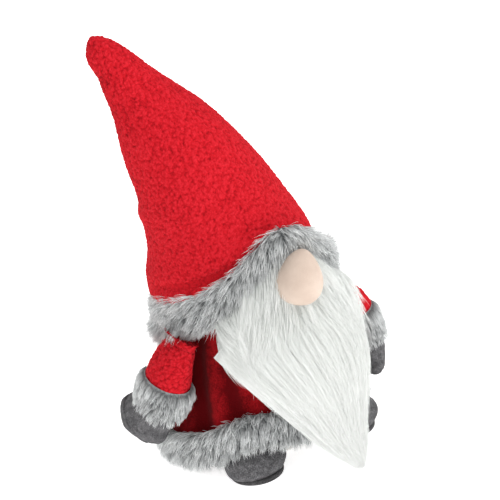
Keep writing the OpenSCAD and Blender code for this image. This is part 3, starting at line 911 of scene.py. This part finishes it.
ARM_PATH = np.array([[-78, -19, 116], [-83, -18, 108], [-87, -17, 101], [-90, -15, 93],
                     [-93, -11, 83], [-96, -5, 72], [-99, 4, 64], [-104, 14, 58],
                     [-109, 24, 54], [-112, 29, 51]], float)
ARM_WIDTH = np.array([0.86, 0.95, 1, 1, 1, 0.98, 1, 0.94, 0.66, 0])
ARM_FLAT = 0.86 * np.array([0.7, 0.85, 0.95, 1, 1, 1, 1, 1, 1, 1])
SLEEVE_R, THUMB = 20.5, 9
LEFT_SWING, LEFT_OUT, LEFT_DROP, LEFT_SIZE = 28, -1, 7, 0.88
CUFF_START, CUFF_END, MITTEN_START, ARM_END = 3, 5, 4, 9
# How far each side's cuff stands off the sleeve's line at its edges, and how much more between.
CUFF_EDGE, CUFF_RISE = {-1: 0.5, 1: 0.3}, {-1: 1.2, 1: 0.5}


def placed(points, side):
    """The right arm's points as they are, or the left arm's: mirrored, swung forwards about the
    shoulder, moved out by LEFT_OUT (which is below 0, so inwards) and sewn on a little lower."""
    if side < 0:
        return points
    off = points - ARM_PATH[0]
    swung_y = off[..., 1] * cosd(LEFT_SWING) + off[..., 2] * sind(LEFT_SWING)
    swung_z = -off[..., 1] * sind(LEFT_SWING) + off[..., 2] * cosd(LEFT_SWING)
    return stack(LEFT_OUT - points[..., 0], ARM_PATH[0][1] + swung_y,
                 ARM_PATH[0][2] + swung_z - LEFT_DROP)


def smooth_through(values, k):
    """A smooth curve through a few values, at place k counted in values."""
    values = values.reshape(len(values), -1)
    padded = np.concatenate([2 * values[:1] - values[1:2], values, 2 * values[-1:] - values[-2:-1]])
    base = np.clip(np.floor(k).astype(int), 0, len(values) - 2)
    t = (k - base)[..., None]
    a, b, c, d = (padded[base + i] for i in range(4))
    return 0.5 * (2 * b + (c - a) * t + (2 * a - 5 * b + 4 * c - d) * t ** 2
                  + (3 * b - 3 * c + d - a) * t ** 3)


def arm_skin(k, angle, side, grow=0.0, thumb=0.0):
    """Point round an arm at place k along it, grown by some millimetres, with the thumb standing
    off towards the front."""
    middle = smooth_through(ARM_PATH, k)
    along = unit(smooth_through(ARM_PATH, np.minimum(k + 0.4, ARM_END))
                 - smooth_through(ARM_PATH, np.maximum(k - 0.4, 0)))
    v = unit(np.cross(along, np.array([1.0, 0, 0])))
    u = np.cross(v, along)
    tip = np.sqrt(np.clip((ARM_END - k) / 1.6, 0, 1))
    share = np.where(k > 7.4, 0.93 * tip ** 0.9, smooth_through(ARM_WIDTH, k)[..., 0])
    radius = share * SLEEVE_R * (1 if side < 0 else LEFT_SIZE) + grow
    lobe = thumb * bell(signed(angle - 80), 32) * bell(k - 7, 0.9)
    flat = smooth_through(ARM_FLAT, k)[..., 0]
    round_it = (flat * cosd(angle))[..., None] * u + sind(angle)[..., None] * v
    return placed(middle + (radius + lobe)[..., None] * round_it, side)


def grid(low, high, rows, cols):
    """Places along and angles round a limb, as two grids."""
    k = np.linspace(low, high, rows)[:, None]
    angle = np.linspace(0, 360, cols, endpoint=False)[None, :]
    return crossed(k, angle)


def make_sleeve(side, name):
    """A sleeve: boucle cloth, flat where it is sewn on under the brim and round at the cuff."""
    k, angle = grid(-2.0, CUFF_START + 0.25, 110, 200)
    ends = placed(smooth_through(ARM_PATH, np.array([-2.0, CUFF_START + 0.2])), side)
    tube = stuffed(arm_skin(k, angle, side), *ends)
    out = outward(tube)
    ridge = 1.1 * noise(tube, 16, seed=31) + 0.9 * sind(50 * k) * noise(tube, 11, seed=33)
    tube, crown = curled(tube + (ridge - 1.2)[..., None] * out, out)
    sleeve = rounded(f"sleeve_cloth_{name}", tube, ends[0], ends[1], crown=crown)
    finished(sleeve, RED_BOUCLE, "red_fleece", None, f"sleeve_{name}")
    k, angle = grid(0.9, CUFF_START - 0.1, 16, 40)
    ends = placed(smooth_through(ARM_PATH, np.array([0.9, CUFF_START - 0.1])), side)
    filling = rounded(f"sleeve_filling_{name}", arm_skin(k, angle, side, -5.0), *ends)
    finished(filling, FILLING, "filling", None, f"sleeve_stuffing_{name}")
    for part in (sleeve, filling):
        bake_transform(part)


def make_cuff(side, name, body):
    """A cuff: a fur band round the wrist, its pile hanging over the mitten."""
    def skin(u, v):
        k = mix(CUFF_START + 0.02, CUFF_END - 0.1, v)
        round_it = np.sqrt(np.clip(sind(180 * (0.06 + 0.88 * v)), 0, 1))
        grow = CUFF_EDGE[side] + CUFF_RISE[side] * round_it
        return arm_skin(k, 360 * u, side, grow)

    k, angle = grid(CUFF_START + 0.02, CUFF_END - 0.1, 12, 80)
    v = np.linspace(0, 1, 12)[:, None] + 0 * angle
    front = skin(angle / 360, v)
    rear = arm_skin(k, angle, side, GAP)[::-1]
    cuff = looped(f"cuff_band_{name}", np.concatenate([front, rear]))
    finished(cuff, GREY_UNDERFUR, "grey_fur", body, f"cuff_{name}")

    def comb(u, v):
        return 16 * noise(skin(u, v), 12, seed=41)

    facing = skin if side > 0 else (lambda u, v: skin(-u, v))
    combing = comb if side > 0 else (lambda u, v: comb(-u, v))
    tuft = pelt(f"cuff_fur_{name}", facing, 5400, (7, 12), (0.3, 0.5), combing,
                seed=301 + side, lay=(0.93, 1.0), locks=(26, 4), clump=0.4, splay=0.06)
    finished(tuft, GREY_FUR, "grey_fur", body)


def make_mitten(side, name, body):
    """A mitten: a stuffed felt mitt with one thumb, and a seam round its edge."""
    k, angle = grid(MITTEN_START, ARM_END - 0.02, 84, 120)
    k = MITTEN_START + (k - MITTEN_START) ** 0.9 * (ARM_END - 0.02 - MITTEN_START) ** 0.1
    ends = placed(smooth_through(ARM_PATH, np.array([float(MITTEN_START), float(ARM_END)])), side)
    mitt = stuffed(arm_skin(k, angle, side, 0, THUMB), *ends)
    out = outward(mitt)
    seam = bell(signed(angle - 90), 3) + bell(signed(angle + 90), 3)
    dimple = 0.8 * noise(mitt, 10, seed=51 + side) + 0.35 * noise(mitt, 4, seed=55)
    mitt = mitt + (dimple - 0.8 * seam - 0.4)[..., None] * out
    mitten = rounded(f"mitten_felt_{name}", mitt, ends[0], ends[1])
    finished(mitten, DARK_FELT, "dark_felt", body, f"mitten_{name}")


# ---------------------------------------------------------------- beard

BEARD_TOP = np.array([-8, -77, 138])
BEARD_TIP = np.array([12, -111, 6])
BEARD_HALF = 68
BEARD_WRAP = 200
PILE_BACK = 2.4
BACKING_SHARE = 0.6


def beard_mid(s):
    """Middle line of the beard, bowed a little to the figure's left on its way down."""
    swing = 4.5 * sind(180 * np.clip(1.3 * s, 0, 1))
    return mix(BEARD_TOP, BEARD_TIP, np.asarray(s)[..., None]) + stack(swing, 0, 0)


def beard_w(s):
    """Half the beard's width: narrow beside the nose, full under it, drawn in to the tip."""
    top = 0.66 + np.where(s < 0, 1.2, 2.2) * s
    low = np.maximum(1 - s, 0) ** 0.72 * (1.04 + 0.1 * sind(180 * np.clip(1.3 * s, 0, 1))) + 0.02
    return BEARD_HALF * np.minimum(top, low)


def beard_thick(s):
    """How far the beard's bulk stands off its back: thickest towards the middle."""
    s = np.clip(s, 0, 1)
    return 16 * sind(180 * mix(0.03, 0.97, s ** 0.8)) ** 0.7


def beard_back(s, c, wide, depth):
    """Point at share s of the beard's length and share c of its width, some depth in front of
    its back. The back sinks in over the coat and wraps round it, and the figure's left half
    narrows low down."""
    x = wide * c * (1 - 0.26 * (c > 0) * bell(s - 0.72, 0.26))
    sink = np.where((s > 0) & (s < 0.45), 3 * sind(180 * s / 0.45), 0)
    mid = beard_mid(s)
    return mid + stack(x, sink + x * x / BEARD_WRAP - depth, 0)


def beard_front(s, c, lift=0.0):
    """Point on the front of the beard's bulk, lifted by some millimetres."""
    bulk = PILE_BACK + 0.8 + beard_thick(s) * np.maximum(0, 1 - c * c) ** 0.35
    return beard_back(s, c, beard_w(s), bulk + lift)


def make_beard_core():
    """The beard's bulk: a soft cushion of fur, drawn with the fine streaks of its strands.

    Streak: noise of (40 c + 3 sin 180 s, 2.5 s), so it is narrow across and long down."""
    s = np.linspace(-0.3, 0.985, 150)[:, None]
    c = sind(np.linspace(-90, 90, 240))[None, :]
    s, c = crossed(s, c)
    bend = 3 * sind(180 * s)
    ridge = 0.8 * noise(stack(c * 9 + bend, s * 2.2, 0 * s), 1.0, seed=61)
    streak = noise(stack(c * 40 + bend, s * 2.5, 0 * s), 1.0, seed=63)
    front = beard_front(s, c * 0.97, -2.2 + ridge + 0.25 * streak)
    back = beard_back(s, c * 0.97, beard_w(s), PILE_BACK)[:, ::-8]
    rings = np.concatenate([front, back], axis=1)
    plain = 0 * back[..., 0]
    along = np.concatenate([0.3 + 0.35 * np.clip(s, 0, 1), plain + 0.4], axis=1)
    shade = np.concatenate([0.45 + 0.4 * streak, plain + 0.4], axis=1)
    core = rounded("beard_core", rings, rings[0].mean(0), rings[-1].mean(0), along=along,
                   shade=shade)
    finished(core, WHITE_FUR, "white_fur", None, "beard_pile")
    return core


def make_beard_backing():
    """The knitted backing that the beard's pile is sewn to: one thin closed sheet."""
    s = np.linspace(0, BACKING_SHARE, 60)[:, None]
    c = np.linspace(-1, 1, 60)[None, :]
    s, c = crossed(s, c)
    wide = 0.85 * beard_w(s)
    front, back = beard_back(s, c, wide, 1.5), beard_back(s, c, wide, 0)
    rings = np.concatenate([front, back[:, ::-1]], axis=1)
    sheet = rounded("beard_backing_cloth", rings, rings[0].mean(0), rings[-1].mean(0))
    finished(sheet, BEARD_KNIT, "beard_cloth", None, "beard_backing")
    return sheet


FACE_HALF = 54


def face_skin(u, v):
    """Where the beard's highest hair is sewn: from under the brim, on either side of the nose,
    down in front of the beard's seam."""
    turn = mix(-FACE_HALF, FACE_HALF, u)
    high = brim_z(turn) - 0.5 * brim_up(turn)
    z = mix(high, 112, v)
    off = 6 * np.maximum(v, 0)
    return round_axis(turn, 67 + off, 68 + off, HAT_Y, z)


def make_face():
    """The hair between the brim and the beard: a thin closed backing and long hair on it, combed
    away from the nose, and at either side in along the beard's edge."""
    u, v = np.linspace(0, 1, 70)[None, :], np.linspace(0, 1, 30)[:, None]
    u, v = crossed(u, v)
    front = face_skin(u, v)
    back = front * np.array([0.975, 0.975, 1])
    rings = np.concatenate([front, back[:, ::-1]], axis=1)
    shade = np.concatenate([0.4 + 0.4 * noise(stack(u * 60, v * 2.5, 0 * u), 1.0, 65)] * 2, axis=1)
    under = rounded("face_hair_ground", rings, rings[0].mean(0), rings[-1].mean(0),
                    along=0 * shade + 0.3, shade=shade)

    def comb(u, v):
        turn = mix(-FACE_HALF, FACE_HALF, u)
        edge = ease(18, 50, np.abs(turn))
        return np.sign(turn) * mix(30 * np.tanh(np.abs(turn) / 8), -40, edge) \
            + 12 * noise(face_skin(u, v), 16, seed=67)

    hair = pelt("face_hair", face_skin, 4600, (22, 46), (0.3, 0.6), comb, seed=69, lay=(0.82, 0.97),
                locks=(34, 5), clump=0.45, steps=7, short=0.1, splay=0.06)
    return [finished(part, WHITE_FUR, "white_fur", None) for part in (under, hair)]


def beard_hairs(name, count, start, reach, width, seed, lift, locks=44, clump=0.75, steps=8,
                stray=1.3):
    """Long hairs laid down the beard. Each begins at a share of its length, keeps its share of
    the width, drifts with its lock and ends within reach below."""
    rng = np.random.default_rng(seed)
    c = np.sin(np.pi * (rng.random(count) - 0.5))
    begin = mix(*start, rng.random(count) ** 1.3)
    lock = np.floor((c + 1) * locks / 2 + 3 * begin).astype(np.int64)
    key = stack(lock, np.floor(begin * 6).astype(np.int64))
    luck, drift, bend = (chance(key, seed + i) for i in range(3))
    centre = np.clip(((lock - 3 * begin) + 0.5) * 2 / locks - 1, -1, 1)
    end = np.minimum(begin + mix(*reach, 0.6 * rng.random(count) + 0.4 * luck), 1.02)
    t = np.linspace(0, 1, steps)[None, :]
    s = mix(begin[:, None], end[:, None], t)
    pull = clump * ease(0.05, 0.9, t)
    wide = mix(c[:, None], centre[:, None], pull)
    wide = wide + 0.10 * (drift - 0.5)[:, None] * sind(180 * t) \
        + 0.025 * sind(360 * (t * (0.8 + bend[:, None]) + luck[:, None]))
    rise = mix(*lift, rng.random(count) * 0.5 + luck * 0.5)[:, None]
    path = beard_front(s, np.clip(wide, -1, 1), rise * ease(0, 0.25, t) - 1.0 * (1 - t))
    path += (rng.normal(size=(count, 1, 3)) * stray) * t[..., None] ** 2
    shade = np.clip(0.6 * luck + 0.4 * rng.random(count), 0, 1)
    across = np.broadcast_to(np.array([1.0, 0, 0.15]), (count, 3))
    return hairs(name, on_floor(path, 3), across, mix(*width, rng.random(count)), shade, flat=0.6)


def make_beard():
    parts = [make_beard_core(), make_beard_backing(), *make_face()]
    layers = (("top", 3100, (-0.25, 0.12), (0.5, 0.95), 71, (0.5, 3.5)),
              ("middle", 3100, (0.0, 0.4), (0.4, 0.75), 75, (0.3, 2.5)),
              ("low", 3100, (0.2, 0.75), (0.25, 0.55), 79, (0.2, 2)))
    for name, count, start, reach, seed, lift in layers:
        hair = beard_hairs(f"beard_hair_{name}", count, start, reach, (0.28, 0.62), seed,
                           lift)
        parts.append(finished(hair, WHITE_FUR, "white_fur", None))
    for part in parts:
        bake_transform(part)


# ---------------------------------------------------------------- build

make_nose()
for side, name, body in ((-1, "right", "right_arm"), (1, "left", "left_arm")):
    make_boot(side, name)
    make_sleeve(side, name)
    make_mitten(side, name, body)
    make_cuff(side, name, body)
make_hat()
make_brim()
coat = make_coat()
make_hem()
make_beard()

INSIDE = {"base_panel": DARK_FELT, "base_stiffener": BOARD, "weight_bag": LINING,
          "weight_pellets": PELLETS, "body_sack": LINING}
for name, cad_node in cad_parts.items():
    if name in INSIDE or "stuffing" in name:
        cad_node.data.materials.clear()
        cad_node.data.materials.append(INSIDE.get(name, FILLING))

FLOOR_HALF = 4000
floor = piece("floor", np.array([[-1, -1, 0], [1, -1, 0], [1, 1, 0], [-1, 1, 0]]) * FLOOR_HALF,
              [np.array([[0, 1, 2, 3]])])
paper, tree, place = new_material("white_paper_sweep")
tooth = node(tree, "TexNoise", {"Vector": place, "Scale": per_metre(3)})
tone = node(tree, "ValToRGB", {"Fac": tooth.outputs["Fac"]}, stops=[(0, "#fbfbfb"), (1, "#ffffff")])
surface(tree, tone.outputs[0], tooth.outputs["Fac"], 0.02, Roughness=0.9, Specular_IOR_Level=0.1,
        Emission_Color=(1, 1, 1, 1), Emission_Strength=FLOOR_GLOW)
floor.data.materials.append(paper)

for name, place, size, watts in LIGHTS:
    add_light(name, place, size, watts)
world = bpy.data.worlds.new("studio")
world.use_nodes = True
world.node_tree.nodes["Background"].inputs["Color"].default_value = (1, 1, 1, 1)
world.node_tree.nodes["Background"].inputs["Strength"].default_value = WORLD_LIGHT
bpy.context.scene.world = world
